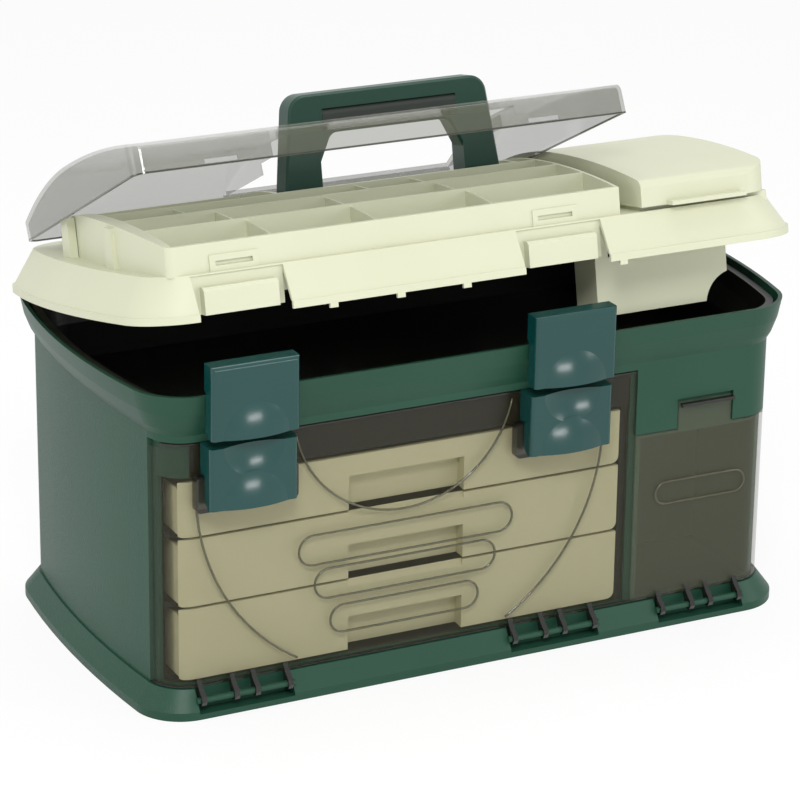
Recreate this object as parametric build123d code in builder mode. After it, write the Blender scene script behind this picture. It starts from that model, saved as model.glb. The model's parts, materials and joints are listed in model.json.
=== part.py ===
from build123d import *
import os
from math import sqrt

# Tackle cabinet: a moulded base with three drawers behind a smoked drop-down door, a
# side bin with its own door, a bulk tub, and a hinged lid that carries compartments,
# a clear cover, a smaller sub-lid and a folding carrying handle.
# Millimetres. +X runs along the length, -Y is the front, +Z is up, and the origin is
# the centre of the underside. The lid is modelled shut and then turned open.

os.makedirs("parts", exist_ok=True)

# ---------------------------------------------------------------- driving sizes
# Each plan outline is (length, depth, end bow, corner radius).
FOOT = (559, 297, 11, 38)
BODY = (536, 274, 11, 28)
RIM = (566, 296, 19, 42)
LIP = (575, 303, 19, 45)
LEDGE = (537, 276, 15, 36)

wall = 3.0
foot_band = 6.5
foot_top = 21.0
body_top = 220.0
rim_top = 253.0
flare_low = (226.0, (545, 280, 13, 31))
flare_high = (238.0, (557, 289, 16, 37))

front_wall = 6.5
door_recess = 3.6
door_thickness = 2.6
door_split = 133.3
wrap_back = -112.0
large_door_top = 213.5
small_door_top = 160.0
door_bottom = 21.5
running_gap = 1.0

# Door hinges: fingers of the door turn on a rod in a notch of the foot.
door_axis_y = -145.0
door_axis_z = 14.0
rod_radius = 2.5
bore_play = 0.05
finger_width = 4.0
finger_offsets = (-35.0, -8.5, 8.5, 35.0)
hinge_notch = 77.0
large_hinges = (-198.0, 61.5)
small_hinge = 192.5

# Drawers: (name, bottom of front, top of front)
DRAWERS = (("bottom", 25.6, 82.0), ("middle", 84.0, 137.0), ("top", 139.0, 182.0))
drawer_left = -247.0
drawer_right = 121.5
drawer_face = -132.0
drawer_back = 100.0
drawer_wall = 2.2
pull_left = -108.5
pull_right = -12.5
pull_height = 27.0

# Latches
latch_width = 69.0
latch_places = {"left": -196.0, "right": 65.0}
latch_skin = 2.8
latch_pin_radius = 2.0
upper_pivot = (-153.5, 230.5)
lower_pivot = (-150.0, 173.5)
upper_face = -161.0
lower_face = -157.5
upper_bottom, upper_top = 222.0, 278.0
lower_bottom, lower_top = 167.0, 214.7
dome_radius = 26.0
dome_rise = 4.5
scoop_radius = 24.0
scoop_depth = 4.6

# Lid
lid_hinge_y = 156.0
lid_hinge_z = 250.0
lid_open = 11.3
lip_bottom = 248.0
lip_top = 253.5
ledge_top = 280.0
lid_skin = 2.5
tray_front = -134.0
tray_rear = 64.0
tray_left = -254.5
tray_right = 121.0
tray_floor = 262.0
tray_crown = 313.3
crown_front_radius = 718.0
crown_rear_radius = 290.0
front_bulge = 0.34
back_bulge = 0.4
row_walls = (-83.0, -42.0, -7.0)
divider = 1.6
well_half = 101.0
lid_hinges = (-180.0, 0.0, 180.0)

# Clear cover
cover_axis_y = 128.0
cover_axis_z = 286.0
cover_hinges = (-215.0, -155.0, 118.0)
cover_open = 16.0
cover_skin = 2.0
cover_left = -263.0
cover_right = 134.5
cover_front = -137.5
cover_back = 117.0
cover_corner = 11.0
cover_base = 281.5
cover_crown = 316.8
window_half = 97.5
window_front = -33.0
window_back = 100.5

# Rack that hangs below the right-hand end of the lid
rack_left, rack_right, rack_y = 116.0, 232.0, -96.0
rack_low, rack_high = 198.0, 256.0

# Sub-lid over the right-hand compartment
sub_left = 137.0
sub_right = 254.0
sub_front = -139.0
sub_back = 112.0
sub_base = 283.2
sub_crown = 316.5
sub_axis_y = 119.0
sub_axis_z = 287.0
sub_hinges = (165.0, 226.0)

# Handle
handle_axis_y = 10.0
handle_axis_z = 296.0
handle_half = 92.0
handle_top_half = 83.0
handle_rise = 88.0
handle_deep = 20.0
arm_width = 31.0


# ---------------------------------------------------------------- shared forms
def plan_face(height, length, depth, bow, corner):
    """Plan outline at a height: straight front and back, bowed ends, rounded corners."""
    half_l = length / 2
    half_d = depth / 2
    with BuildSketch(Plane.XY.offset(height)) as outline:
        with BuildLine():
            Line((bow - half_l, -half_d), (half_l - bow, -half_d))
            ThreePointArc((half_l - bow, -half_d), (half_l, 0), (half_l - bow, half_d))
            Line((half_l - bow, half_d), (bow - half_l, half_d))
            ThreePointArc((bow - half_l, half_d), (-half_l, 0), (bow - half_l, -half_d))
        make_face()
        fillet(outline.vertices(), corner)
    return outline.sketch


def inset(outline, step):
    """The same plan outline, drawn in by step on every side."""
    length, depth, bow, corner = outline
    return (length - 2 * step, depth - 2 * step, bow, max(corner - step, 2))


def skin(levels, mode=Mode.ADD):
    """Ruled solid through plan outlines, given as (height, outline) pairs."""
    loft([plan_face(height, *outline) for height, outline in levels], ruled=True, mode=mode)


def front_layer(outer, inner, x_low, x_high, z_low, z_high, back=wrap_back, mode=Mode.ADD):
    """A layer of the curved wall along the front and round a corner."""
    with BuildSketch(Plane.XY.offset(z_low)) as layer:
        add(plan_face(0, *outer))
        add(plan_face(0, *inner), mode=Mode.SUBTRACT)
        with Locations(((x_low + x_high) / 2, back - 50)):
            Rectangle(x_high - x_low, 100, mode=Mode.INTERSECT)
    extrude(layer.sketch, amount=z_high - z_low, mode=mode)


def block(x_low, x_high, y_low, y_high, z_low, z_high, mode=Mode.ADD):
    """A plain block between two corners."""
    with BuildSketch(Plane.XY.offset(z_low)) as footprint:
        with Locations(((x_low + x_high) / 2, (y_low + y_high) / 2)):
            Rectangle(x_high - x_low, y_high - y_low)
    extrude(footprint.sketch, amount=z_high - z_low, mode=mode)


def side_profile(points, x_middle, width, mode=Mode.ADD):
    """Extrude an outline of (y, z) points along X, centred on x_middle."""
    with BuildSketch(Plane.YZ.offset(x_middle - width / 2)) as profile:
        with BuildLine():
            Polyline(*points, close=True)
        make_face()
    extrude(profile.sketch, amount=width, mode=mode)


def rod(y, z, radius, x_middle, length, mode=Mode.ADD):
    """A round bar or bore along X."""
    with BuildSketch(Plane.YZ.offset(x_middle - length / 2)) as end:
        with Locations((y, z)):
            Circle(radius)
    extrude(end.sketch, amount=length, mode=mode)


def save(solid, label):
    """Label a finished piece and write it out."""
    solid.label = label
    export_step(solid, f"parts/{label}.step")


def opened(solid):
    """Turn a piece of the lid from shut to its open rest position."""
    return solid.rotate(Axis((0, lid_hinge_y, lid_hinge_z), (-1, 0, 0)), lid_open)


# ---------------------------------------------------------------- base shell
with BuildPart() as base_shell:
    skin([(0, FOOT), (foot_band, FOOT)])
    skin([(foot_band, FOOT), (foot_top, (539, 277, 11, 30))])
    skin([(foot_top, BODY), (body_top, BODY)])
    skin([(body_top, BODY), flare_low, flare_high, (rim_top, RIM)])
    skin([(wall, inset(BODY, wall)), (body_top - wall, inset(BODY, wall))], Mode.SUBTRACT)
    skin(
        [
            (body_top - wall, inset(BODY, wall)),
            (flare_low[0], inset(flare_low[1], wall)),
            (flare_high[0], inset(flare_high[1], wall)),
            (rim_top, inset(RIM, wall)),
        ],
        Mode.SUBTRACT,
    )
    # The front is thick enough for the doors to lie flush in it.
    front_layer(inset(BODY, 1), inset(BODY, front_wall), -270, 270, wall, body_top - wall,
                wrap_back + 8)
    front_layer(
        (560, 290, 11, 28), inset(BODY, door_recess), -290, door_split,
        foot_top - 0.1, large_door_top + running_gap, mode=Mode.SUBTRACT,
    )
    front_layer(
        (560, 290, 11, 28), inset(BODY, door_recess), door_split, 290,
        foot_top - 0.1, small_door_top + running_gap, mode=Mode.SUBTRACT,
    )
    # Openings of the drawer bay and of the side bin, and the notch for the door tab.
    block(-262, 129, -140, -117, 23, 186, Mode.SUBTRACT)
    block(-237, 129, -140, -129, 185, 212, Mode.SUBTRACT)
    block(140, 246, -140, -125, 23, 156, Mode.SUBTRACT)
    block(170, 220, -140, -133.4, 155, 185, Mode.SUBTRACT)
    # Hinge notches in the foot, each with a rod from cheek to cheek.
    for x in (*large_hinges, small_hinge):
        block(x - hinge_notch / 2, x + hinge_notch / 2, -150, -136.4, 4.5, 24, Mode.SUBTRACT)
        rod(door_axis_y, door_axis_z, rod_radius, x, hinge_notch + 2)
    # Ears for the pins of the upper latches.
    for x in latch_places.values():
        for side in (-14, 14):
            side_profile(
                [(-140, 226.5), (-153.5, 226.7), (-156.6, 228.2), (-157.3, 230.5),
                 (-156.6, 232.8), (-153.5, 234.3), (-141, 239)],
                x + side, 6,
            )
        rod(*upper_pivot, latch_pin_radius + 0.03, x, 60, Mode.SUBTRACT)
    # Ears of the lid hinge along the back.
    for x in lid_hinges:
        for side in (-22, 22):
            side_profile(
                [(142.6, 236), (156, 245), (161, 250), (156, 255.2), (151, 253), (145.8, 251.5)],
                x + side, 10,
            )
        rod(lid_hinge_y, lid_hinge_z, 2.53, x, 56, Mode.SUBTRACT)
save(base_shell.part, "base_shell")

# ---------------------------------------------------------------- black inner frame
frame_left, frame_right = -253.5, 133.0
with BuildPart() as inner_frame:
    block(frame_left, frame_right, -130.2, 112, 3.2, 188)
    block(frame_left + 2.5, 123.1, -131, 109.5, 23, 185.5, Mode.SUBTRACT)
    block(frame_left + 2.5, 130.5, -127.4, 109.5, 5.7, 20.5, Mode.SUBTRACT)
    # Runners that carry the drawers.
    for _, low, _ in DRAWERS:
        for x_low, x_high in ((frame_left + 1, -236), (111.5, 125)):
            block(x_low, x_high, -123, 109.5, low - 1.4, low + 2.3)
    # Shelf that roofs the side bin.
    block(131, 262, -126, 112, 164, 166.5)
    # Liner of the side bin, open to its door.
    block(132, 250, -130.2, -40, 20, 165)
    block(138, 247.5, -131, -42.5, 22.5, 161.5, Mode.SUBTRACT)
    extrude(plan_face(0, *inset(BODY, 6.8)), amount=200, mode=Mode.INTERSECT)
    # Header that closes the space above the drawers.
    block(-236.5, 128.5, -132.6, -130, 185.6, 211.5)
save(inner_frame.part, "inner_frame")

# ---------------------------------------------------------------- bulk tub
TUB = (518, 256, 10, 24)
with BuildPart() as bulk_tub:
    tub_levels = [(189, TUB), (220, (524, 260, 11, 26)), (236, (538, 270, 15, 30)),
                  (247, (546, 278, 17, 34))]
    skin(tub_levels)
    skin([(246.6, (553, 284, 18, 38)), (249, (553, 284, 18, 38))])
    skin(
        [(191.5, inset(TUB, 2.5)), (220, inset((524, 260, 11, 26), 2.5)),
         (236, inset((538, 270, 15, 30), 2.5)), (249.1, inset((546, 278, 17, 34), 2.5))],
        Mode.SUBTRACT,
    )
save(bulk_tub.part, "bulk_tub")

# ---------------------------------------------------------------- drawers
for name, low, high in DRAWERS:
    with BuildPart() as drawer:
        block(drawer_left, drawer_right, drawer_face, drawer_face + 3.5, low, high)
        corner_edges = drawer.edges().filter_by(Axis.Y)
        fillet(corner_edges.sort_by(Axis.Z)[:2], 6)
        block(drawer_left + 2.5, drawer_right - 2.5, drawer_face + 3.5, drawer_back,
              low + 2.6, high - 5)
        block(
            drawer_left + 2.5 + drawer_wall, drawer_right - 2.5 - drawer_wall,
            drawer_face + 6.5, drawer_back - drawer_wall, low + 2.6 + drawer_wall, high,
            Mode.SUBTRACT,
        )
        extrude(plan_face(0, *inset(BODY, 5)), amount=200, mode=Mode.INTERSECT)
        # Finger pull: a pocket open downwards, and a bevel in the top edge below it.
        block(pull_left - 2.5, pull_right + 2.5, drawer_face, drawer_face + 13,
              low + 0.4, low + pull_height + 2.5)
        block(pull_left, pull_right, drawer_face - 1, drawer_face + 10.5,
              low - 1, low + pull_height, Mode.SUBTRACT)
        if name != "top":
            side_profile(
                [(drawer_face - 0.1, high - 5), (drawer_face + 3.4, high + 0.1),
                 (drawer_face - 0.1, high + 0.1)],
                (pull_left + pull_right) / 2, pull_right - pull_left, Mode.SUBTRACT,
            )
    save(drawer.part, f"drawer_{name}")


# ---------------------------------------------------------------- smoked doors
def door_fingers(x_middle):
    """Four fingers that hang from a door and turn on the rod."""
    for offset_x in finger_offsets:
        x = x_middle + offset_x
        side_profile(
            [(-137.1, 29), (-134.4, 22), (-138, 20.5), (-140.3, 14), (-142, 10.5), (-145, 9.3),
             (-148, 10.8), (-149.7, 14), (-148.2, 18), (-143, 22)],
            x, finger_width,
        )
        rod(door_axis_y, door_axis_z, rod_radius + bore_play, x, 2 * finger_width, Mode.SUBTRACT)


def bead_ring(x, z, radius, width=1.8):
    """Raised ring on the outer face of a door."""
    with Locations((x, z)):
        Circle(radius + width / 2)
        Circle(radius - width / 2, mode=Mode.SUBTRACT)


def bead_loop(x, z, length, height, width=1.8):
    """Raised stadium on the outer face of a door."""
    with Locations((x, z)):
        SlotOverall(length, height)
        SlotOverall(length - 2 * width, height - 2 * width, mode=Mode.SUBTRACT)


with BuildPart() as large_door:
    front_layer(BODY, inset(BODY, door_thickness), -290, door_split - 0.6,
                door_bottom, large_door_top)
    # The wrapped end is lower, so that it clears the rim as the door swings.
    block(-290, -225, -124, -105, large_door_top - 4, large_door_top + 1, Mode.SUBTRACT)
    with BuildSketch(Plane.XZ.offset(BODY[1] / 2)):
        bead_ring(-65, 173.8, 168.5)
        with Locations((-65, 100)):
            Rectangle(380, 140, mode=Mode.INTERSECT)
    extrude(amount=0.7)
    with BuildSketch(Plane.XZ.offset(BODY[1] / 2)):
        bead_ring(-65, 226, 91)
        with Locations((-65, 160)):
            Rectangle(300, 98, mode=Mode.INTERSECT)
    extrude(amount=0.7)
    for x, z, length, height in ((-62.5, 114, 180, 25.6), (-63, 85.5, 153, 25.6),
                                 (-63.5, 55, 126, 24)):
        with BuildSketch(Plane.XZ.offset(BODY[1] / 2)):
            bead_loop(x, z, length, height)
        extrude(amount=0.7)
    for x in large_hinges:
        door_fingers(x)
    # Pads and ears that carry the lower latches.
    for x in latch_places.values():
        with BuildSketch(Plane.XZ.offset(BODY[1] / 2)):
            with Locations((x, 176)):
                RectangleRounded(81, 28, 4)
        extrude(amount=8)
        for side in (-14, 14):
            side_profile(
                [(-144.5, 168.5), (-152, 169.8), (-153.6, 173.5), (-152, 177.2), (-144.5, 180)],
                x + side, 6,
            )
        rod(*lower_pivot, latch_pin_radius + 0.03, x, 60, Mode.SUBTRACT)
save(large_door.part, "large_door")

with BuildPart() as small_door:
    front_layer(BODY, inset(BODY, door_thickness), door_split + 0.6, 290,
                door_bottom, small_door_top)
    block(225, 290, -124, -105, small_door_top - 3.5, small_door_top + 1, Mode.SUBTRACT)
    block(171.5, 218.5, -137, -134.4, small_door_top - 2, 182)
    block(171.5, 218.5, -142, -137, 179.4, 182)
    with BuildSketch(Plane.XZ.offset(BODY[1] / 2)):
        bead_loop(193, 109, 82, 20)
    extrude(amount=0.7)
    door_fingers(small_hinge)
save(small_door.part, "small_door")

# ---------------------------------------------------------------- latches
def cap_ball(half_width, rise):
    """Radius of the ball whose cap has this half width and rise."""
    return (half_width**2 + rise**2) / (2 * rise)


# Half-round swelling at the foot of each latch, and the half-round thumb scoop.
dome_ball = cap_ball(dome_radius, dome_rise)
with BuildPart() as dome:
    with Locations((0, dome_ball - dome_rise, 0)):
        Sphere(dome_ball)
    split(bisect_by=Plane.XZ.offset(-0.5))
    split(bisect_by=Plane.XY)

scoop_ball = cap_ball(scoop_radius, scoop_depth)
with BuildPart() as scoop:
    with Locations((0, scoop_depth - scoop_ball, 0)):
        Sphere(scoop_ball)
    split(bisect_by=Plane.XZ.offset(1), keep=Keep.BOTTOM)
    split(bisect_by=Plane.XY, keep=Keep.BOTTOM)


def latch_cheeks(x, pivot, face):
    """Two inner cheeks with the bore for the pin."""
    for side in (-21, 21):
        side_profile(
            [(face + 1, pivot[1] - 5), (pivot[0] + 2.4, pivot[1] - 3.2),
             (pivot[0] + 3.9, pivot[1]), (pivot[0] + 2.4, pivot[1] + 3.2),
             (face + 1, pivot[1] + 9)],
            x + side, 4,
        )
    rod(*pivot, latch_pin_radius + bore_play, x, 50, Mode.SUBTRACT)


for side_name, x in latch_places.items():
    half = latch_width / 2
    with BuildPart() as upper_latch:
        side_profile(
            [(upper_face, upper_bottom), (upper_face, upper_top), (-147, upper_top),
             (-147, 257), (-149.9, 256), (-149.9, 240), (-148.9, 236), (-148.9, 226),
             (-152, upper_bottom)],
            x, latch_width,
        )
        front = upper_latch.faces().sort_by(Axis.Y)[0]
        fillet(front.edges().filter_by(Axis.Z) + front.edges().sort_by(Axis.Z)[-1:], 3)
        block(x - half + 3, x + half - 3, upper_face + latch_skin, -140,
              upper_bottom - 1, upper_top - latch_skin, Mode.SUBTRACT)
        with Locations((x, upper_face, upper_bottom)):
            add(dome.part)
        latch_cheeks(x, upper_pivot, upper_face)
    save(upper_latch.part, f"upper_latch_{side_name}")

    with BuildPart() as lower_latch:
        side_profile(
            [(lower_face, lower_bottom), (lower_face, lower_top), (-138.5, lower_top),
             (-138.5, 191), (-145.9, 191), (-145.9, 172), (-151.5, lower_bottom)],
            x, latch_width,
        )
        front = lower_latch.faces().sort_by(Axis.Y)[0]
        fillet(front.edges().filter_by(Axis.Z), 3)
        block(x - half + 3, x + half - 3, lower_face + latch_skin, -130,
              lower_bottom - 1, lower_top - latch_skin, Mode.SUBTRACT)
        block(x - 28, x + 28, lower_face + 1, lower_face + 8, lower_top - 26, lower_top - 1)
        with Locations((x, lower_face, lower_top)):
            add(scoop.part, mode=Mode.SUBTRACT)
        with Locations((x, lower_face, lower_bottom)):
            add(dome.part)
        latch_cheeks(x, lower_pivot, lower_face)
    save(lower_latch.part, f"lower_latch_{side_name}")

for name, pivot in (("upper_latch_pins", upper_pivot), ("lower_latch_pins", lower_pivot)):
    with BuildPart() as pins:
        for x in latch_places.values():
            rod(*pivot, latch_pin_radius, x, 48)
    save(pins.part, name)


# ---------------------------------------------------------------- lid
def crown_height(y, crown):
    """Height of the crowned top at a depth y: gentle to the front, rounder behind."""
    radius = crown_front_radius if y < 0 else crown_rear_radius
    return crown - radius + sqrt(radius**2 - y**2)


def crown_prism(crown, front, back, z_low, round_off=0):
    """Everything under the crowned top between front and back, the full length of the lid.
    round_off is the size of the rounded front and rear edges."""
    front_top = Vector(front + round_off, crown_height(front + round_off, crown))
    back_top = Vector(back - round_off, crown_height(back - round_off, crown))
    drop = Vector(0, -round_off)
    front_bend = Vector(front_bulge * round_off, -front_bulge * round_off)
    back_bend = Vector(-back_bulge * round_off, -back_bulge * round_off)
    with BuildSketch(Plane.YZ.offset(-300)) as profile:
        with BuildLine():
            front_middle = front_top.X / 2
            ThreePointArc(
                front_top, (front_middle, crown_height(front_middle, crown)), (0, crown))
            back_middle = back_top.X / 2
            ThreePointArc((0, crown), (back_middle, crown_height(back_middle, crown)), back_top)
            front_wall_top = Vector(front, front_top.Y) + drop
            back_wall_top = Vector(back, back_top.Y) + drop
            if round_off:
                ThreePointArc(
                    front_top, Vector(front, front_top.Y) + front_bend, front_wall_top)
                ThreePointArc(back_top, Vector(back, back_top.Y) + back_bend, back_wall_top)
            Polyline(back_wall_top, (back, z_low), (front, z_low), front_wall_top)
        make_face()
    return extrude(profile.sketch, amount=600, mode=Mode.PRIVATE)


def end_outline(z, left, right, front, back, bow, corner, rear_corner):
    """Plan outline with a bowed left end and a straight right end."""
    middle = (front + back) / 2
    with BuildSketch(Plane.XY.offset(z)) as outline:
        with BuildLine():
            Line((left + bow, front), (right, front))
            Line((right, front), (right, back))
            Line((right, back), (left + bow, back))
            ThreePointArc((left + bow, back), (left, middle), (left + bow, front))
        make_face()
        left_corners = outline.vertices().sort_by(Axis.X)[:2].sort_by(Axis.Y)
        fillet(left_corners[0], corner)
        left_corners = outline.vertices().filter_by_position(Axis.Y, back - 0.1, back + 0.1)
        fillet(left_corners.sort_by(Axis.X)[0], rear_corner)
    return outline.sketch


with BuildPart() as raised_tray:
    extrude(end_outline(ledge_top - 1, tray_left, tray_right, tray_front, tray_rear, 8, 5, 14),
            amount=50)
    add(crown_prism(tray_crown, tray_front, tray_rear, ledge_top - 1), mode=Mode.INTERSECT)

with BuildPart() as lid_tray:
    skin([(lip_bottom, LIP), (lip_top, LIP)])
    skin([(lip_top, inset(LIP, 1.2)), (ledge_top, LEDGE)])
    skin([(lip_bottom, inset(LIP, lid_skin)), (lip_top, inset(LIP, lid_skin))], Mode.SUBTRACT)
    skin([(lip_top, inset(LIP, lid_skin + 1.2)), (ledge_top - lid_skin, inset(LEDGE, lid_skin))],
         Mode.SUBTRACT)
    add(raised_tray.part)
    # The tub of the tray hangs below the ledge.
    block(tray_left + 10, tray_right, tray_front + 1, tray_rear, tray_floor - lid_skin,
          ledge_top)
    # Rows of pockets.
    fronts = (tray_front + lid_skin, *(y + divider / 2 for y in row_walls))
    backs = (*(y - divider / 2 for y in row_walls), tray_rear - lid_skin)
    for y_low, y_high in zip(fronts[:3], backs[:3]):
        block(tray_left + 12.5, tray_right - lid_skin, y_low, y_high, tray_floor, 330,
              Mode.SUBTRACT)
    block(tray_left + 12.5, -well_half - 3, fronts[3], backs[3], tray_floor, 330,
          Mode.SUBTRACT)
    # Well for the handle, open to the back.
    block(-well_half, well_half, -4.6, tray_rear + 1, ledge_top + 1, 330, Mode.SUBTRACT)
    block(-well_half, well_half, -6, tray_rear - lid_skin, 250, ledge_top - 1.5, Mode.SUBTRACT)
    block(well_half + 3, tray_right - lid_skin, fronts[3], backs[3], tray_floor, 330,
          Mode.SUBTRACT)
    # Posts beside the well that hold the handle pins.
    for side in (-1, 1):
        side_profile(
            [(handle_axis_y - 9, 280), (handle_axis_y - 9, 297), (handle_axis_y - 5, 301),
             (handle_axis_y + 5, 301), (handle_axis_y + 9, 297), (handle_axis_y + 9, 280)],
            side * (well_half - 3.8), 8.4,
        )
    # Bin under the sub-lid.
    block(140, 252, -131, 104, 256, sub_base - 0.4)
    block(142.5, 249.5, -128.5, 101.5, 258.5, 330, Mode.SUBTRACT)
    # Latch recesses, each with its keeper block, and the slot frames above them.
    for x in latch_places.values():
        block(x - 36, x + 36, -160, -136.5, 240, 279, Mode.SUBTRACT)
        block(x - 36.2, x + 36.2, -136.6, -134, 251, 279)
        side_profile([(-144.5, 251), (-144.5, 268), (-142, 270.5), (-135, 270.5), (-135, 251)],
                     x, 58)
        block(x - 19, x + 19, -135.2, -133.5, 279, 292)
        block(x - 14.5, x + 14.5, -137, -132.6, 284, 287.5, Mode.SUBTRACT)
    # Small tabs under the front lip.
    for x in (-128, -74, -20, 112):
        block(x - 3.2, x + 3.2, -151.4, -149.1, 244.6, lip_bottom + 0.5)
    # Buttress ribs on the left end.
    for y in (-48, 40):
        side_profile([(y - 8, 279), (y + 8, 279), (y + 6, 309.5), (y - 6, 309.5)], -254.5, 6.4)
    # Knuckles of the lid hinge.
    for x in lid_hinges:
        for side in (-22, 22):
            block(x + side - 5.5, x + side + 5.5, 144.5, 165, 240, 257.5, Mode.SUBTRACT)
        side_profile([(149.2, 253.8), (151.2, 248), (156, 245.2), (161, 250), (156, 256),
                      (146.5, 261)], x, 32)
        rod(lid_hinge_y, lid_hinge_z, 2.5 + bore_play, x, 40, Mode.SUBTRACT)
    # Ears of the cover and of the sub-lid.
    for x in cover_hinges:
        for side in (-9, 9):
            side_profile([(122, 279), (122, 286), (124.5, 290), (131.5, 290), (134, 286),
                          (134, 279)], x + side, 5)
        rod(cover_axis_y, cover_axis_z, 2.03, x, 30, Mode.SUBTRACT)
    for x in sub_hinges:
        for side in (-9, 9):
            side_profile([(114, 279), (114, 288), (116.5, 291), (121.5, 291), (124, 287),
                          (124, 279)], x + side, 5)
        rod(sub_axis_y, sub_axis_z, 2.03, x, 30, Mode.SUBTRACT)
    # Sockets for the handle pins.
    rod(handle_axis_y, handle_axis_z, 3.03, 0, 2 * well_half + 10, Mode.SUBTRACT)
save(opened(lid_tray.part), "lid_tray")

with BuildPart() as tray_dividers:
    pocket_low = (tray_front + lid_skin, row_walls[0] + divider / 2, row_walls[1] + divider / 2)
    pocket_high = (row_walls[0] - divider / 2, row_walls[1] - divider / 2,
                   row_walls[2] - divider / 2)
    places = ((-162, -78, 18), (-169, -79, 13), (-188, -37, 10))
    for y_low, y_high, columns in zip(pocket_low, pocket_high, places):
        for x in columns:
            block(x - divider / 2, x + divider / 2, y_low, y_high, tray_floor, 320)
    add(crown_prism(tray_crown - 2, tray_front, tray_rear, tray_floor - 1), mode=Mode.INTERSECT)
save(opened(tray_dividers.part), "tray_dividers")


# ---------------------------------------------------------------- clear cover
def cover_shape(step, base, round_off):
    """The clear cover, drawn in by step."""
    with BuildPart() as shape:
        block(cover_left + step, cover_right - step, cover_front + step, cover_back - step,
              base, 340)
        left_edges = shape.edges().filter_by(Axis.Z).sort_by(Axis.X)[:2]
        fillet(left_edges, cover_corner - step)
        add(
            crown_prism(cover_crown - step, cover_front + step, cover_back - step, base,
                        round_off),
            mode=Mode.INTERSECT,
        )
    return shape.part


def knuckle(x, width, axis_y, axis_z, wall_y, radius=4.2):
    """Hinge knuckle reaching back from a cover wall to its pin."""
    side_profile(
        [(wall_y, axis_z - 3), (axis_y, axis_z - radius), (axis_y, axis_z + radius),
         (wall_y, axis_z + 7)],
        x, width,
    )
    rod(axis_y, axis_z, radius, x, width)
    rod(axis_y, axis_z, 2 + bore_play, x, width + 8, Mode.SUBTRACT)


with BuildPart() as window_border:
    for side in (-1, 1):
        x = side * (window_half + 1)
        block(x - 1, x + 1, -4, window_back + 2, 304, 320)
        block(x - 1, x + 1, 21, window_back + 2, 295, 320)
    block(-window_half - 2, window_half + 2, window_back, window_back + 2, 288, 320)
    add(crown_prism(cover_crown - 1, cover_front, cover_back, 280), mode=Mode.INTERSECT)

with BuildPart() as clear_cover:
    add(cover_shape(0, cover_base, 6))
    add(cover_shape(cover_skin, cover_base - 1, 4), mode=Mode.SUBTRACT)
    block(-window_half, window_half, window_front, window_back, 292, 330, Mode.SUBTRACT)
    add(window_border.part)
    # Grips and catches pressed in the front band.
    for x in latch_places.values():
        with BuildSketch(Plane.XZ.offset(-cover_front - 0.8)):
            with Locations((x + 9.5, 293)):
                SlotOverall(66, 7)
        extrude(amount=2, mode=Mode.SUBTRACT)
        block(x - 13, x + 13, cover_front - 1, cover_front + 3, 283.2, 286.6, Mode.SUBTRACT)
    for x in cover_hinges:
        knuckle(x, 12, cover_axis_y, cover_axis_z, cover_back - 1)
save(opened(clear_cover.part.rotate(Axis((0, cover_axis_y, cover_axis_z), (-1, 0, 0)),
                                    cover_open)), "clear_cover")

# ---------------------------------------------------------------- sub-lid
def sub_lid_shape(step, base, round_off):
    """The sub-lid, drawn in by step."""
    with BuildPart() as shape:
        block(sub_left + step, sub_right - step, sub_front + step, sub_back - step, base, 340)
        right_edges = shape.edges().filter_by(Axis.Z).sort_by(Axis.X)[-2:]
        fillet(right_edges, 24 - step)
        add(
            crown_prism(sub_crown - step, sub_front + step, sub_back - step, base, round_off),
            mode=Mode.INTERSECT,
        )
    return shape.part


with BuildPart() as sub_lid:
    add(sub_lid_shape(0, sub_base, 6))
    add(sub_lid_shape(lid_skin, sub_base - 1, 4), mode=Mode.SUBTRACT)
    block(sub_left + 22, sub_right - 30, sub_front - 9, sub_front + 2, sub_base, sub_base + 3)
    for x in sub_hinges:
        knuckle(x, 12, sub_axis_y, sub_axis_z, sub_back - 1)
save(opened(sub_lid.part), "sub_lid")

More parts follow.
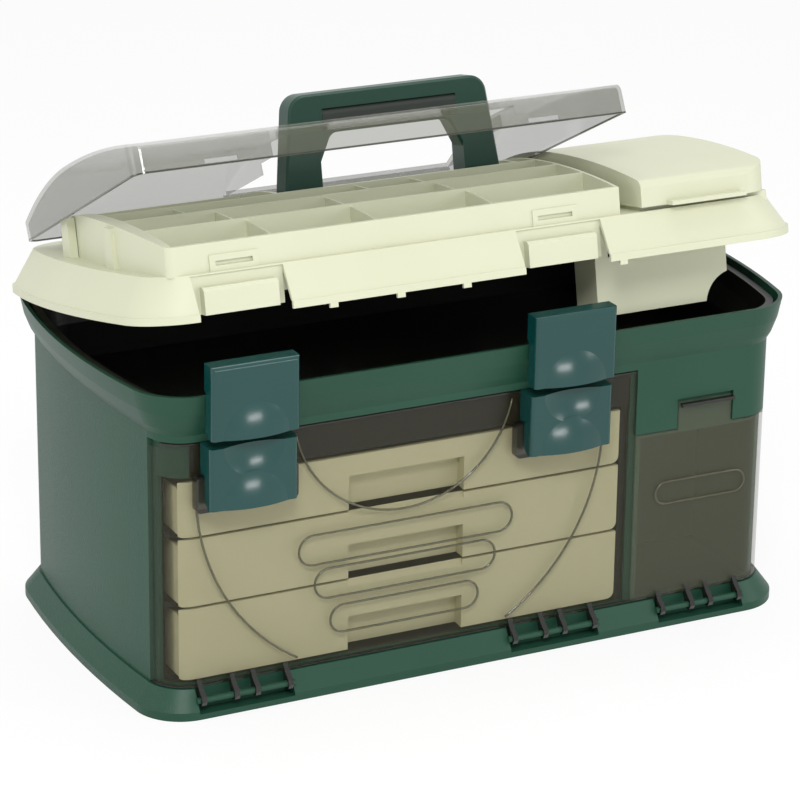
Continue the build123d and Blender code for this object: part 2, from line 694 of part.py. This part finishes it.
# ---------------------------------------------------------------- handle and grip
with BuildPart() as handle:
    with BuildSketch(Plane.XZ.offset(-handle_axis_y - handle_deep / 2)):
        with BuildLine():
            Polyline(
                (-handle_half, handle_axis_z - 8), (handle_half, handle_axis_z - 8),
                (handle_half, handle_axis_z + 16), (handle_top_half, handle_axis_z + handle_rise),
                (-handle_top_half, handle_axis_z + handle_rise),
                (-handle_half, handle_axis_z + 16), close=True,
            )
        make_face()
        with BuildLine():
            Polyline(
                (arm_width - handle_half, handle_axis_z - 9),
                (handle_half - arm_width, handle_axis_z - 9),
                (handle_half - arm_width, handle_axis_z + 34), (50, handle_axis_z + 57),
                (-50, handle_axis_z + 57), (arm_width - handle_half, handle_axis_z + 34),
                close=True,
            )
        make_face(mode=Mode.SUBTRACT)
    extrude(amount=handle_deep)
    outer = handle.edges().filter_by(Axis.Y)
    fillet(outer.group_by(Axis.Z)[-1], 14)
    inner = handle.edges().filter_by(Axis.Y).filter_by_position(
        Axis.Z, handle_axis_z + 50, handle_axis_z + 60)
    fillet(inner, 8)
    rims = handle.faces().filter_by(Axis.Y).edges().filter_by_position(
        Axis.Z, handle_axis_z + 17, 500)
    chamfer(rims, 1.8)
    # Rounded feet, so that the handle can fold about its pins.
    for side in (-1, 1):
        x = side * (handle_half - arm_width / 2)
        with BuildSketch(Plane.YZ.offset(x - arm_width / 2 - 1)):
            with Locations((handle_axis_y, handle_axis_z - 9 + 5)):
                Rectangle(40, 12)
            with Locations((handle_axis_y, handle_axis_z)):
                Circle(handle_deep / 2, mode=Mode.SUBTRACT)
                Rectangle(40, 60, align=(Align.CENTER, Align.MIN), mode=Mode.SUBTRACT)
        extrude(amount=arm_width + 2, mode=Mode.SUBTRACT)
        rod(handle_axis_y, handle_axis_z, 3 + bore_play, x, arm_width + 2, Mode.SUBTRACT)
    # Seat of the grip.
    block(-57, 57, -50, 50, handle_axis_z + 59, handle_axis_z + 76, Mode.SUBTRACT)
    block(-58, 58, handle_axis_y - 6, handle_axis_y + 6, handle_axis_z + 58, handle_axis_z + 77)
save(opened(handle.part), "handle")

with BuildPart() as handle_grip:
    with BuildSketch(Plane.YZ.offset(-57)):
        with Locations((handle_axis_y, handle_axis_z + 67.5)):
            RectangleRounded(handle_deep + 1, 17, 5)
            Rectangle(12, 19, mode=Mode.SUBTRACT)
    extrude(amount=114)
save(opened(handle_grip.part), "handle_grip")

# ---------------------------------------------------------------- bait rack
with BuildPart() as bait_rack:
    with BuildSketch(Plane.XZ.offset(-rack_y)):
        with Locations(((rack_left + rack_right) / 2, (rack_low + rack_high) / 2)):
            Rectangle(rack_right - rack_left, rack_high - rack_low)
        with Locations((rack_right + 6, rack_low - 4)):
            Circle(26, mode=Mode.SUBTRACT)
        with Locations(((rack_left + rack_right) / 2, rack_high - 8)):
            with GridLocations(9.0, 0, 11, 1):
                Rectangle(3.2, 10, mode=Mode.SUBTRACT)
    extrude(amount=3)
    block(rack_left, rack_left + 2.5, rack_y - 3, rack_y + 30, rack_low, rack_high)
    block(rack_right - 2.5, rack_right, rack_y - 3, rack_y + 30, rack_high - 26, rack_high)
save(opened(bait_rack.part), "bait_rack")

# ---------------------------------------------------------------- pins of the lid
with BuildPart() as lid_hinge_pins:
    for x in lid_hinges:
        rod(lid_hinge_y, lid_hinge_z, 2.5, x, 55)
save(lid_hinge_pins.part, "lid_hinge_pins")

with BuildPart() as cover_pins:
    for x in cover_hinges:
        rod(cover_axis_y, cover_axis_z, 2, x, 23)
save(opened(cover_pins.part), "cover_pins")

with BuildPart() as sub_lid_pins:
    for x in sub_hinges:
        rod(sub_axis_y, sub_axis_z, 2, x, 23)
save(opened(sub_lid_pins.part), "sub_lid_pins")

with BuildPart() as handle_pins:
    for side in (-1, 1):
        rod(handle_axis_y, handle_axis_z, 3, side * (handle_half - 8), 42)
save(opened(handle_pins.part), "handle_pins")
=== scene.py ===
# %% [markdown]
# This lesson dresses a fishing tackle cabinet for a studio picture. The exact solids come
# from the CAD frame, so the work here is camera, light, finishes and the small moulded
# details that a CAD model leaves out. Everything is in metres: X along the length,
# -Y to the front, Z up.

# %% Load the frame
import bpy
import bmesh
import json
from math import radians, sin, cos
from mathutils import Vector, Matrix


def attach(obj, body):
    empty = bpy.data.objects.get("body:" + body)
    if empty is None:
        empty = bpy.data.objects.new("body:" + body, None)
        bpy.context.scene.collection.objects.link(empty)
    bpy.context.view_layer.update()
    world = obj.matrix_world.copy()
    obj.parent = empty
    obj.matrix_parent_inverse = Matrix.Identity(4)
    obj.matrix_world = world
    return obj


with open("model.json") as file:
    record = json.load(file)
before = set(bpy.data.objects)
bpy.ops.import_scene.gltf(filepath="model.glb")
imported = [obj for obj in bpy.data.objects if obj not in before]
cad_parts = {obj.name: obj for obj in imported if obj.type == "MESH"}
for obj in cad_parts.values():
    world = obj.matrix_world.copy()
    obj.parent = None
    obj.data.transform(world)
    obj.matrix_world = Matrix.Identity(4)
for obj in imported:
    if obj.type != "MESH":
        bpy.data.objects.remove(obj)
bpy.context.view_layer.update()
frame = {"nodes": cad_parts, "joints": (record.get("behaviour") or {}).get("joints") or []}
nodes = frame["nodes"]
print("nodes", len(nodes))

# %% [markdown]
# The photograph was taken from the front left, a little above, with a long lens. A long
# lens far away keeps the verticals nearly parallel. The tiny roll levels the picture the
# way the photographer held the camera.

# %% Camera
camera_data = bpy.data.cameras.new("studio_camera")
camera_data.sensor_width = 36.0
camera_data.lens = 153.0
camera = bpy.data.objects.new("studio_camera", camera_data)
bpy.context.scene.collection.objects.link(camera)
target = Vector((-0.00066, 0.0, 0.16445))
azimuth, elevation, roll = radians(-26.75), radians(20.45), radians(0.77)
distance = 2.6671
back = Vector((sin(azimuth) * cos(elevation), -cos(azimuth) * cos(elevation), sin(elevation)))
aim = back.to_track_quat("Z", "Y").to_matrix().to_4x4()
camera.matrix_world = (
    Matrix.Translation(target + back * distance) @ aim @ Matrix.Rotation(roll, 4, "Z")
)
bpy.context.scene.camera = camera
print("camera at", [round(v, 3) for v in camera.matrix_world.translation])

# %% [markdown]
# Colours are picked as sRGB hex values, the way a paint chart gives them, and one function
# turns them to the linear numbers that a shader wants.


# %% Colour helper
def linear(hex_code):
    channels = [int(hex_code[i:i + 2], 16) / 255 for i in (1, 3, 5)]
    return tuple(
        c / 12.92 if c <= 0.04045 else ((c + 0.055) / 1.055) ** 2.4 for c in channels
    ) + (1.0,)


print("mid grey in linear", round(linear("#808080")[0], 3))

# %% [markdown]
# A material is a small graph of nodes. One function adds a node, sets its options and its
# sockets and joins it to nodes made before, so each finish below reads as a short list.


# %% Node helper
def add_node(material, kind, options=(), values=(), joins=()):
    node = material.node_tree.nodes.new(kind)
    for name, value in dict(options).items():
        setattr(node, name, value)
    for name, value in dict(values).items():
        node.inputs[name].default_value = value
    for name, output in dict(joins).items():
        material.node_tree.links.new(output, node.inputs[name])
    return node


def new_finish(name):
    material = bpy.data.materials.new(name)
    material.use_nodes = True
    material.node_tree.nodes.clear()
    return material


def finish_output(material, shader):
    add_node(material, "ShaderNodeOutputMaterial", joins={"Surface": shader.outputs[0]})
    return material


# %% [markdown]
# Most of the cabinet is injection-moulded polypropylene. It is satin rather than glossy,
# its colour drifts very slightly where the melt cooled, and its skin has a fine spark-eroded
# texture. One function builds that finish: a broad noise moves the colour a little, a fine
# noise breaks up the gloss, and a bump gives the skin. The grain size is a real size in mm.
# On the base only the outside of the end walls is pebbled. The pebble fades in along X past
# the front wall and fades out below the rim, where the mould was polished, and it stays off
# every face that looks inward.

# %% Moulded plastic
pebble_from_x, pebble_full_x = 0.250, 0.258
pebble_fades_z, pebble_gone_z = 0.218, 0.224
pebble_strength = 0.8
pebble_edge = 0.35
drift_scale = 9.0
skin_gloss_low, skin_gloss_high = -0.06, 0.08


def moulded_plastic(name, dark, pale, roughness, grain_mm, grain_depth_mm, coat=0.0,
                    cell_mm=0.0, cell_depth_mm=0.0, shine=0.5):
    material = new_finish(name)
    place = add_node(material, "ShaderNodeTexCoord")
    drift = add_node(
        material, "ShaderNodeTexNoise", values={"Scale": drift_scale, "Detail": 3.0},
        joins={"Vector": place.outputs["Object"]},
    )
    colour = add_node(
        material, "ShaderNodeMix", {"data_type": "RGBA"}, joins={"Factor": drift.outputs["Fac"]}
    )
    colour.inputs["A"].default_value = linear(dark)
    colour.inputs["B"].default_value = linear(pale)
    grain = add_node(
        material, "ShaderNodeTexNoise", values={"Scale": 1000 / grain_mm, "Detail": 2.0},
        joins={"Vector": place.outputs["Object"]},
    )
    gloss = add_node(
        material, "ShaderNodeMapRange",
        values={"To Min": roughness + skin_gloss_low, "To Max": roughness + skin_gloss_high},
        joins={"Value": grain.outputs["Fac"]},
    )
    bump = add_node(
        material, "ShaderNodeBump",
        values={"Strength": 0.6, "Distance": grain_depth_mm / 1000},
        joins={"Height": grain.outputs["Fac"]},
    )
    if cell_mm:
        cells = add_node(
            material, "ShaderNodeTexVoronoi", {"feature": "DISTANCE_TO_EDGE"},
            {"Scale": 1000 / cell_mm}, {"Vector": place.outputs["Object"]},
        )
        pebble = add_node(
            material, "ShaderNodeMapRange", {"interpolation_type": "SMOOTHSTEP"},
            {"From Max": pebble_edge}, {"Value": cells.outputs["Distance"]},
        )
        sides = add_node(
            material, "ShaderNodeSeparateXYZ", joins={"Vector": place.outputs["Object"]}
        )
        from_middle = add_node(
            material, "ShaderNodeMath", {"operation": "ABSOLUTE"}, {}, {0: sides.outputs["X"]}
        )
        on_end = add_node(
            material, "ShaderNodeMapRange",
            values={"From Min": pebble_from_x, "From Max": pebble_full_x,
                    "To Max": pebble_strength},
            joins={"Value": from_middle.outputs[0]},
        )
        below_rim = add_node(
            material, "ShaderNodeMapRange",
            values={"From Min": pebble_fades_z, "From Max": pebble_gone_z,
                    "To Min": 1.0, "To Max": 0.0},
            joins={"Value": sides.outputs["Z"]},
        )
        facing = add_node(
            material, "ShaderNodeSeparateXYZ", joins={"Vector": place.outputs["Normal"]}
        )
        outward = add_node(
            material, "ShaderNodeMath", {"operation": "MULTIPLY", "use_clamp": True}, {},
            {0: facing.outputs["X"], 1: sides.outputs["X"]},
        )
        outer_skin = add_node(
            material, "ShaderNodeMath", {"operation": "GREATER_THAN"}, {1: 0.0},
            {0: outward.outputs[0]},
        )
        on_wall = add_node(
            material, "ShaderNodeMath", {"operation": "MULTIPLY"}, {},
            {0: on_end.outputs[0], 1: below_rim.outputs[0]},
        )
        pebbled = add_node(
            material, "ShaderNodeMath", {"operation": "MULTIPLY"}, {},
            {0: on_wall.outputs[0], 1: outer_skin.outputs[0]},
        )
        bump = add_node(
            material, "ShaderNodeBump", values={"Distance": cell_depth_mm / 1000},
            joins={"Strength": pebbled.outputs[0], "Height": pebble.outputs[0],
                   "Normal": bump.outputs["Normal"]},
        )
    skin = add_node(
        material, "ShaderNodeBsdfPrincipled",
        values={"IOR": 1.49, "Specular IOR Level": shine, "Coat Weight": coat,
                "Coat Roughness": 0.12},
        joins={"Base Color": colour.outputs["Result"], "Roughness": gloss.outputs[0],
               "Normal": bump.outputs["Normal"]},
    )
    return finish_output(material, skin)


# %% [markdown]
# The body is dark green polypropylene with a pebbled grain on its end walls, cells of about
# 2 mm, which hides scratches. The handle is the same green, moulded smooth. The latches are
# smooth too and a little bluer, so they catch sharp highlights. The lid parts are cream, the
# liner black and the drawers beige.

# %% Opaque finishes
green_body = moulded_plastic(
    "polypropylene_green_pebbled", "#193F30", "#204938", roughness=0.42, grain_mm=0.9,
    grain_depth_mm=0.06, cell_mm=2.2, cell_depth_mm=0.16, shine=0.3,
)
green_smooth = moulded_plastic(
    "polypropylene_green_smooth", "#12352A", "#194033", roughness=0.34, grain_mm=0.8,
    grain_depth_mm=0.04, shine=0.35,
)
teal_latch = moulded_plastic(
    "polypropylene_teal_gloss", "#063735", "#0A423F", roughness=0.18, grain_mm=0.9,
    grain_depth_mm=0.02, coat=0.1,
)
cream_lid = moulded_plastic(
    "polypropylene_cream", "#C5C7AC", "#CDCFB6", roughness=0.42, grain_mm=0.8,
    grain_depth_mm=0.05,
)
black_liner = moulded_plastic(
    "polypropylene_black", "#0F100E", "#151613", roughness=0.34, grain_mm=0.9,
    grain_depth_mm=0.05, shine=0.3,
)
beige_drawer = moulded_plastic(
    "polypropylene_beige", "#C6C197", "#CFCAA4", roughness=0.40, grain_mm=0.8,
    grain_depth_mm=0.05,
)
grip_rubber = moulded_plastic(
    "soft_grip_rubber", "#1B211D", "#232A25", roughness=0.62, grain_mm=0.7,
    grain_depth_mm=0.12,
)
print("opaque finishes ready")

# %% [markdown]
# Hinge pins are drawn steel wire: a metal with fine lines along its length. The lines are
# noise stretched along X by a Mapping node.

# %% Steel pins
pin_steel = new_finish("steel_pin_drawn")
place = add_node(pin_steel, "ShaderNodeTexCoord")
stretch = add_node(
    pin_steel, "ShaderNodeMapping", values={"Scale": (60.0, 2600.0, 2600.0)},
    joins={"Vector": place.outputs["Object"]},
)
lines = add_node(
    pin_steel, "ShaderNodeTexNoise", values={"Scale": 1.0, "Detail": 2.0},
    joins={"Vector": stretch.outputs[0]},
)
line_gloss = add_node(
    pin_steel, "ShaderNodeMapRange", values={"To Min": 0.25, "To Max": 0.42},
    joins={"Value": lines.outputs["Fac"]},
)
steel = add_node(
    pin_steel, "ShaderNodeBsdfPrincipled",
    values={"Base Color": linear("#B9BABA"), "Metallic": 1.0},
    joins={"Roughness": line_gloss.outputs[0]},
)
finish_output(pin_steel, steel)
print("steel ready")


# %% [markdown]
# The doors and the clear cover are smoked styrene-acrylic, see-through with a grey-olive
# tint. Real refraction would darken what lies behind, so the tint is made with alpha: each
# surface hides a share of what is behind it and adds its own dark colour and shine. A
# broad noise gives the faint waviness of a large moulded sheet. Where the light runs along
# the sheet, at its cut edges and in its thick pads and fingers, smoked plastic looks nearly
# black. Each such band is a plane with a direction and a place: a dot product measures how
# far a point lies past it, and the largest band decides how dark and how solid it looks.

# %% Smoked clear plastic
band_softness = 0.00036
wave_scale = 14.0
wave_depth = 0.0008
clear_gloss_low, clear_gloss_high = 0.06, 0.14


def edge_band(material, place, direction, start):
    """0 short of a plane and 1 past it; start is its place in metres along the direction."""
    along = add_node(
        material, "ShaderNodeVectorMath", {"operation": "DOT_PRODUCT"}, {1: direction},
        {0: place.outputs["Object"]},
    )
    return add_node(
        material, "ShaderNodeMapRange",
        values={"From Min": start, "From Max": start + band_softness},
        joins={"Value": along.outputs["Value"]},
    )


def smoked_clear(name, tint, alpha, edge_tint, edge_alpha, bands, coat=0.15):
    material = new_finish(name)
    place = add_node(material, "ShaderNodeTexCoord")
    wave = add_node(
        material, "ShaderNodeTexNoise", values={"Scale": wave_scale, "Detail": 1.0},
        joins={"Vector": place.outputs["Object"]},
    )
    ripple = add_node(
        material, "ShaderNodeBump", values={"Strength": 0.25, "Distance": wave_depth},
        joins={"Height": wave.outputs["Fac"]},
    )
    thick = None
    for direction, start in bands:
        band = edge_band(material, place, direction, start)
        if thick is None:
            thick = band
        else:
            thick = add_node(
                material, "ShaderNodeMath", {"operation": "MAXIMUM"}, {},
                {0: thick.outputs[0], 1: band.outputs[0]},
            )
    colour = add_node(
        material, "ShaderNodeMix", {"data_type": "RGBA"}, joins={"Factor": thick.outputs[0]}
    )
    colour.inputs["A"].default_value = linear(tint)
    colour.inputs["B"].default_value = linear(edge_tint)
    solid = add_node(
        material, "ShaderNodeMapRange", values={"To Min": alpha, "To Max": edge_alpha},
        joins={"Value": thick.outputs[0]},
    )
    gloss = add_node(
        material, "ShaderNodeMapRange",
        values={"To Min": clear_gloss_low, "To Max": clear_gloss_high},
        joins={"Value": wave.outputs["Fac"]},
    )
    sheet = add_node(
        material, "ShaderNodeBsdfPrincipled",
        values={"IOR": 1.5, "Coat Weight": coat, "Coat Roughness": 0.04},
        joins={"Base Color": colour.outputs["Result"], "Alpha": solid.outputs[0],
               "Roughness": gloss.outputs[0], "Normal": ripple.outputs["Normal"]},
    )
    return finish_output(material, sheet)


toward_front, toward_top, toward_foot = (0.0, -1.0, 0.0), (0.0, 0.0, 1.0), (0.0, 0.0, -1.0)
sheet_front_y = -0.1380
door_top_z = 0.2122
door_foot_z = 0.0225
door_bands = [
    (toward_front, -sheet_front_y),  # pads, ears and fingers stand proud of the sheet
    (toward_top, door_top_z),        # top edge
    (toward_foot, -door_foot_z),     # bottom edge and fingers
]
smoke_door = smoked_clear("smoked_acrylic_door", "#3F3C29", 0.18, "#1B1B17", 0.86, door_bands)
smoke_side = smoked_clear("smoked_acrylic_side", "#5C5E4B", 0.30, "#1B1B17", 0.86, door_bands)

lid_open, cover_open = radians(11.3), radians(16.0)
rim_below_hinge = 0.0031
cover_hinge = next(j for j in frame["joints"] if j["name"] == "clear_cover_hinge")
cover_tilt = lid_open + cover_open
cover_up = Vector((0.0, sin(cover_tilt), cos(cover_tilt)))
cover_rim = Vector(cover_hinge["pos_m"]).dot(cover_up) - rim_below_hinge
smoke_cover = smoked_clear(
    "smoked_acrylic_cover", "#606250", 0.32, "#2A2B24", 0.80,
    [(tuple(-cover_up), -cover_rim)], coat=0.5,
)
print("clear finishes ready, cover rim at", round(cover_rim, 4))

# %% [markdown]
# Every CAD node gets its finish by assigning to its material slots. Its mesh is never
# changed: only the shine and colour are ours.

# %% Dress the CAD nodes
finishes = {
    "base_shell": green_body, "inner_frame": black_liner, "bulk_tub": black_liner,
    "upper_latch_pins": pin_steel, "lid_hinge_pins": pin_steel, "handle_pins": pin_steel,
    "cover_pins": pin_steel, "sub_lid_pins": pin_steel, "lower_latch_pins": pin_steel,
    "lid_tray": cream_lid, "tray_dividers": cream_lid, "bait_rack": cream_lid,
    "sub_lid": cream_lid, "clear_cover": smoke_cover, "handle": green_smooth,
    "handle_grip": grip_rubber, "large_door": smoke_door, "small_door": smoke_side,
    "drawer_top": beige_drawer, "drawer_middle": beige_drawer, "drawer_bottom": beige_drawer,
    "upper_latch_left": teal_latch, "upper_latch_right": teal_latch,
    "lower_latch_left": teal_latch, "lower_latch_right": teal_latch,
}
for node_name, finish in finishes.items():
    mesh = nodes[node_name].data
    if not mesh.materials:
        mesh.materials.append(finish)
    for index in range(len(mesh.materials)):
        mesh.materials[index] = finish
print("dressed", len(finishes), "of", len(nodes))

# %% [markdown]
# The doors carry raised bead lines: a wide arc, a smaller one and rounded loops. On the real
# door each is a fine half-round rib that shows as a dark line with a bright edge. A small
# ring of points is spun round the centre of each arc; a loop is two such half turns joined
# by two straight pulls, which is quicker and cleaner than bending a finished tube.

# %% Bead lines
bead_radius = 0.0009
bead_sides = 8
bead_face = -0.1372
arc_middle_x = -0.065
wide_arc_z, wide_arc_radius = 0.1738, 0.1685
wide_arc_spans = ((-58.6, -1.3), (181.3, 238.6))
small_arc_z, small_arc_radius = 0.226, 0.091
small_arc_span = (-169.0, -11.0)
# Each loop is (middle x, middle z, length, height).
large_door_loops = (
    (-0.0625, 0.114, 0.180, 0.0256),
    (-0.063, 0.0855, 0.153, 0.0256),
    (-0.0635, 0.055, 0.126, 0.024),
)
small_door_loop = (0.193, 0.109, 0.082, 0.020)


def bead_start(builder, x, z, radius, angle):
    """A ring of points square to an arc, at an angle from +X towards +Z."""
    outward = Vector((cos(angle), 0.0, sin(angle)))
    centre = Vector((x, bead_face, z)) + outward * radius
    square = Matrix((outward, Vector((0, 1, 0)), outward.cross(Vector((0, 1, 0))))).transposed()
    ring = bmesh.ops.create_circle(
        builder, cap_ends=False, segments=bead_sides, radius=bead_radius,
        matrix=Matrix.Translation(centre) @ square.to_4x4(),
    )["verts"]
    edges = list({edge for vert in ring for edge in vert.link_edges})
    return ring + edges


def bead_turn(builder, geometry, x, z, angle, steps):
    """Carries a ring of points round a centre and returns the last ring."""
    return bmesh.ops.spin(
        builder, geom=geometry, cent=(x, bead_face, z), axis=(0, -1, 0), angle=angle,
        steps=steps, use_duplicate=False,
    )["geom_last"]


def bead_pull(builder, geometry, distance):
    """Pulls a ring of points straight along X and returns the last ring."""
    edges = [item for item in geometry if isinstance(item, bmesh.types.BMEdge)]
    pulled = bmesh.ops.extrude_edge_only(builder, edges=edges)["geom"]
    verts = [item for item in pulled if isinstance(item, bmesh.types.BMVert)]
    bmesh.ops.translate(builder, verts=verts, vec=(distance, 0, 0))
    return verts + [item for item in pulled if isinstance(item, bmesh.types.BMEdge)
                    and all(vert in verts for vert in item.verts)]


def bead_arc(builder, x, z, radius, start, end, steps=40):
    ring = bead_start(builder, x, z, radius, radians(start))
    bead_turn(builder, ring, x, z, radians(end - start), steps)


def bead_loop(builder, x, z, length, height, steps=14):
    reach = (length - height) / 2
    radius = height / 2 - bead_radius
    ring = bead_start(builder, x + reach, z, radius, radians(-90))
    ring = bead_turn(builder, ring, x + reach, z, radians(180), steps)
    ring = bead_pull(builder, ring, -2 * reach)
    ring = bead_turn(builder, ring, x - reach, z, radians(180), steps)
    bead_pull(builder, ring, 2 * reach)


def finish_piece(name, builder, body, finish):
    """Joins doubles, caps the ends, turns the faces outwards and puts the piece on a body."""
    bmesh.ops.remove_doubles(builder, verts=builder.verts, dist=0.00001)
    bmesh.ops.holes_fill(builder, edges=builder.edges, sides=bead_sides)
    bmesh.ops.recalc_face_normals(builder, faces=builder.faces)
    mesh = bpy.data.meshes.new(name)
    builder.to_mesh(mesh)
    builder.free()
    mesh.materials.append(finish)
    for polygon in mesh.polygons:
        polygon.use_smooth = True
    piece = bpy.data.objects.new(name, mesh)
    bpy.context.scene.collection.objects.link(piece)
    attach(piece, body)
    print(name, len(mesh.polygons), "faces")
    return piece


bead_plastic = new_finish("smoked_acrylic_bead")
bead_place = add_node(bead_plastic, "ShaderNodeTexCoord")
bead_wave = add_node(
    bead_plastic, "ShaderNodeTexNoise", values={"Scale": 60.0, "Detail": 1.0},
    joins={"Vector": bead_place.outputs["Object"]},
)
bead_gloss = add_node(
    bead_plastic, "ShaderNodeMapRange", values={"To Min": 0.08, "To Max": 0.22},
    joins={"Value": bead_wave.outputs["Fac"]},
)
bead_skin = add_node(
    bead_plastic, "ShaderNodeBsdfPrincipled",
    values={"Base Color": linear("#4C4A2E"), "Alpha": 0.72, "IOR": 1.5, "Coat Weight": 0.8,
            "Coat Roughness": 0.05},
    joins={"Roughness": bead_gloss.outputs[0]},
)
finish_output(bead_plastic, bead_skin)

beads = bmesh.new()
for span in wide_arc_spans:
    bead_arc(beads, arc_middle_x, wide_arc_z, wide_arc_radius, *span)
bead_arc(beads, arc_middle_x, small_arc_z, small_arc_radius, *small_arc_span)
for loop in large_door_loops:
    bead_loop(beads, *loop)
finish_piece("large_door_beads", beads, "large_door", bead_plastic)
beads = bmesh.new()
bead_loop(beads, *small_door_loop)
finish_piece("small_door_beads", beads, "small_door", bead_plastic)

# %% [markdown]
# The floor is a plain pale sheet. To the camera, in reflections and through clear plastic it
# shines mostly white, so the picture has a clean white ground. The small share that stays
# paper takes the soft contact shadow, and the light that bounces off the floor comes from
# that paper alone.

# %% Floor and world
floor_half = 6.0
white_share = 0.86
soft_level, seen_level = 0.55, 1.0

floor_mesh = bpy.data.meshes.new("studio_floor")
builder = bmesh.new()
bmesh.ops.create_grid(builder, x_segments=1, y_segments=1, size=floor_half)
builder.to_mesh(floor_mesh)
builder.free()
floor = bpy.data.objects.new("studio_floor", floor_mesh)
bpy.context.scene.collection.objects.link(floor)
floor_paper = new_finish("paper_backdrop")
paper = add_node(
    floor_paper, "ShaderNodeBsdfPrincipled",
    values={"Base Color": linear("#F4F4F2"), "Roughness": 0.9},
)
white_card = add_node(floor_paper, "ShaderNodeEmission", values={"Strength": 1.0})


def seen_directly(material):
    """1 for camera, glossy and transmission rays, 0 for the rays that carry soft light."""
    rays = add_node(material, "ShaderNodeLightPath")
    either = add_node(
        material, "ShaderNodeMath", {"operation": "MAXIMUM"}, {},
        {0: rays.outputs["Is Camera Ray"], 1: rays.outputs["Is Glossy Ray"]},
    )
    return add_node(
        material, "ShaderNodeMath", {"operation": "MAXIMUM"}, {},
        {0: either.outputs[0], 1: rays.outputs["Is Transmission Ray"]},
    )


floor_seen = seen_directly(floor_paper)
card_share = add_node(
    floor_paper, "ShaderNodeMath", {"operation": "MULTIPLY"}, {1: white_share},
    {0: floor_seen.outputs[0]},
)
floor_mix = add_node(
    floor_paper, "ShaderNodeMixShader",
    joins={0: card_share.outputs[0], 1: paper.outputs[0], 2: white_card.outputs[0]},
)
finish_output(floor_paper, floor_mix)
floor_mesh.materials.append(floor_paper)

world = bpy.data.worlds.new("studio_world")
bpy.context.scene.world = world
world.use_nodes = True
world.node_tree.nodes.clear()
sky_seen = seen_directly(world)
sky_strength = add_node(
    world, "ShaderNodeMapRange", values={"To Min": soft_level, "To Max": seen_level},
    joins={"Value": sky_seen.outputs[0]},
)
sky = add_node(
    world, "ShaderNodeBackground", values={"Color": (1.0, 1.0, 1.0, 1.0)},
    joins={"Strength": sky_strength.outputs[0]},
)
add_node(world, "ShaderNodeOutputWorld", joins={"Surface": sky.outputs[0]})
print("floor and world ready")

# %% [markdown]
# Soft light comes from large area lamps. The key is high on the left in front and a weaker
# fill stands on the right. One lamp hangs over the lid and one lights the left end, and a
# small strip low in front puts the bright spots on the latches' domes and scoops.


# %% Lamps
def area_lamp(name, place, look, size, power):
    data = bpy.data.lights.new(name, "AREA")
    data.shape = "RECTANGLE"
    data.size, data.size_y = size
    data.energy = power
    lamp = bpy.data.objects.new(name, data)
    bpy.context.scene.collection.objects.link(lamp)
    facing = (Vector(place) - Vector(look)).to_track_quat("Z", "Y").to_matrix().to_4x4()
    lamp.matrix_world = Matrix.Translation(Vector(place)) @ facing
    return lamp


middle = (0.0, 0.0, 0.2)
area_lamp("key_lamp", (-1.0, -1.9, 2.0), middle, (0.8, 0.6), 36)
area_lamp("fill_lamp", (2.0, -1.5, 1.0), middle, (1.2, 1.2), 14)
area_lamp("top_lamp", (0.2, 0.5, 2.4), middle, (1.6, 1.2), 18)
area_lamp("side_lamp", (-2.4, 0.1, 0.9), middle, (1.0, 1.0), 10)
area_lamp("front_strip_lamp", (0.45, -2.1, 0.28), middle, (0.55, 0.22), 4)

bpy.context.scene.view_settings.view_transform = "Standard"
